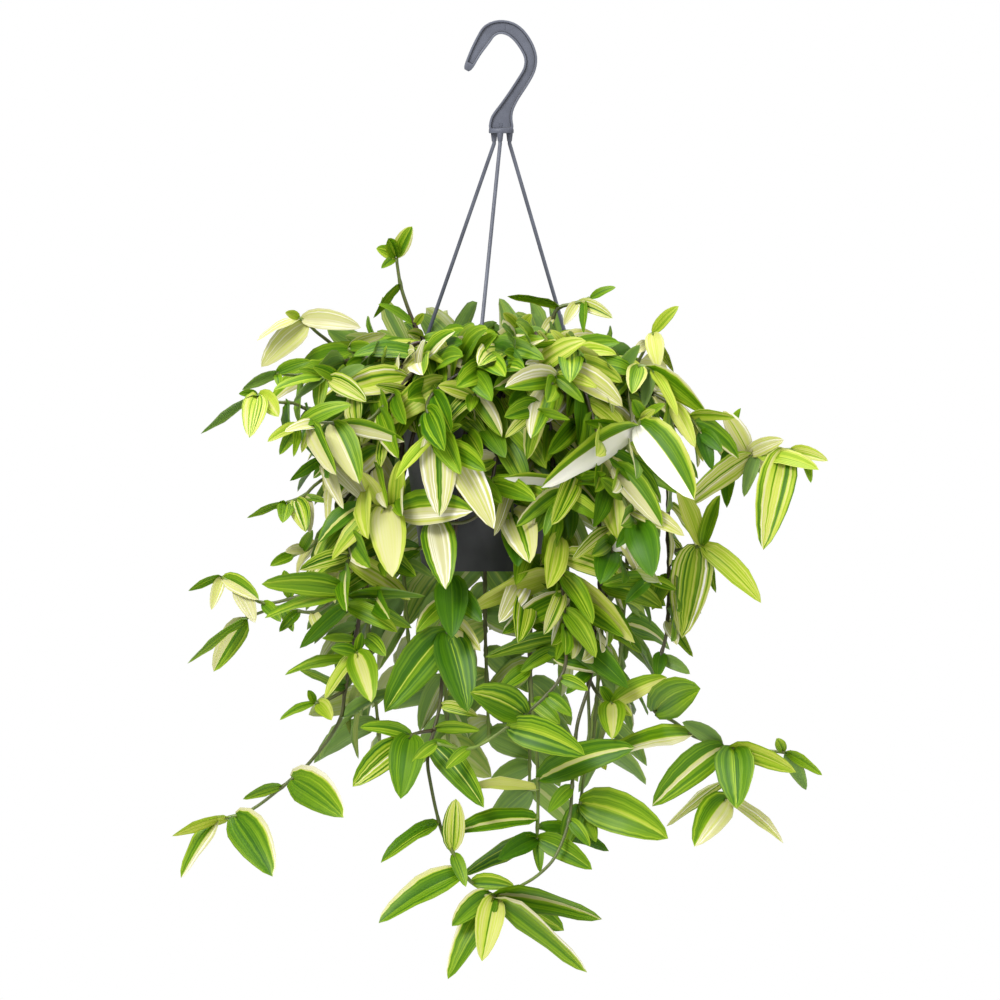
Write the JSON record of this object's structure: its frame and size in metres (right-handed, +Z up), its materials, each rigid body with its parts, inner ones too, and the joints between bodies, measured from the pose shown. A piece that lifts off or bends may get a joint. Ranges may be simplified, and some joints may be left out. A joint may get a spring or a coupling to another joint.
{
  "type": "hanging pot plant",
  "caption": "Trailing striped tradescantia in a tapered pot, hung from a moulded hook hanger with slim clip-on rods.",
  "frame": {"origin": "the seat of the hook: the underside of its crown, where the rail lies", "axes": "+Z up, +X to the right in the front view, -Y towards the viewer"},
  "size_m": [0.5248, 0.3356, 0.7671],
  "materials": {
    "hanger_plastic": "matte moulded blue-grey plastic",
    "pot_plastic": "charcoal plastic with a soft sheen",
    "soil": "dark moist potting soil",
    "leaf": "green leaves striped with cream and yellow, slightly waxy; stems olive to red-brown"
  },
  "bodies": {
    "root": {"hanger_rod_front": "hanger_plastic", "hanger_rod_left": "hanger_plastic", "hanger_rod_right": "hanger_plastic", "hook": "hanger_plastic", "pot": "pot_plastic", "soil": "soil", "stem_a": "leaf", "stem_aa": "leaf", "stem_ab": "leaf", "stem_ac": "leaf", "stem_ad": "leaf", "stem_ae": "leaf", "stem_af": "leaf", "stem_ag": "leaf", "stem_ah": "leaf", "stem_ai": "leaf", "stem_aj": "leaf", "stem_ak": "leaf", "stem_al": "leaf", "stem_am": "leaf", "stem_an": "leaf", "stem_ao": "leaf", "stem_ap": "leaf", "stem_b": "leaf", "stem_back_1": "leaf", "stem_back_2": "leaf", "stem_back_3": "leaf", "stem_back_4": "leaf", "stem_back_5": "leaf", "stem_back_6": "leaf", "stem_back_7": "leaf", "stem_back_8": "leaf", "stem_back_9": "leaf", "stem_c": "leaf", "stem_d": "leaf", "stem_e": "leaf", "stem_f": "leaf", "stem_g": "leaf", "stem_h": "leaf", "stem_i": "leaf", "stem_j": "leaf", "stem_k": "leaf", "stem_l": "leaf", "stem_m": "leaf", "stem_n": "leaf", "stem_o": "leaf", "stem_p": "leaf", "stem_q": "leaf", "stem_r": "leaf", "stem_s": "leaf", "stem_t": "leaf", "stem_u": "leaf", "stem_v": "leaf", "stem_w": "leaf", "stem_x": "leaf", "stem_y": "leaf", "stem_z": "leaf"}
  },
  "joints": []
}
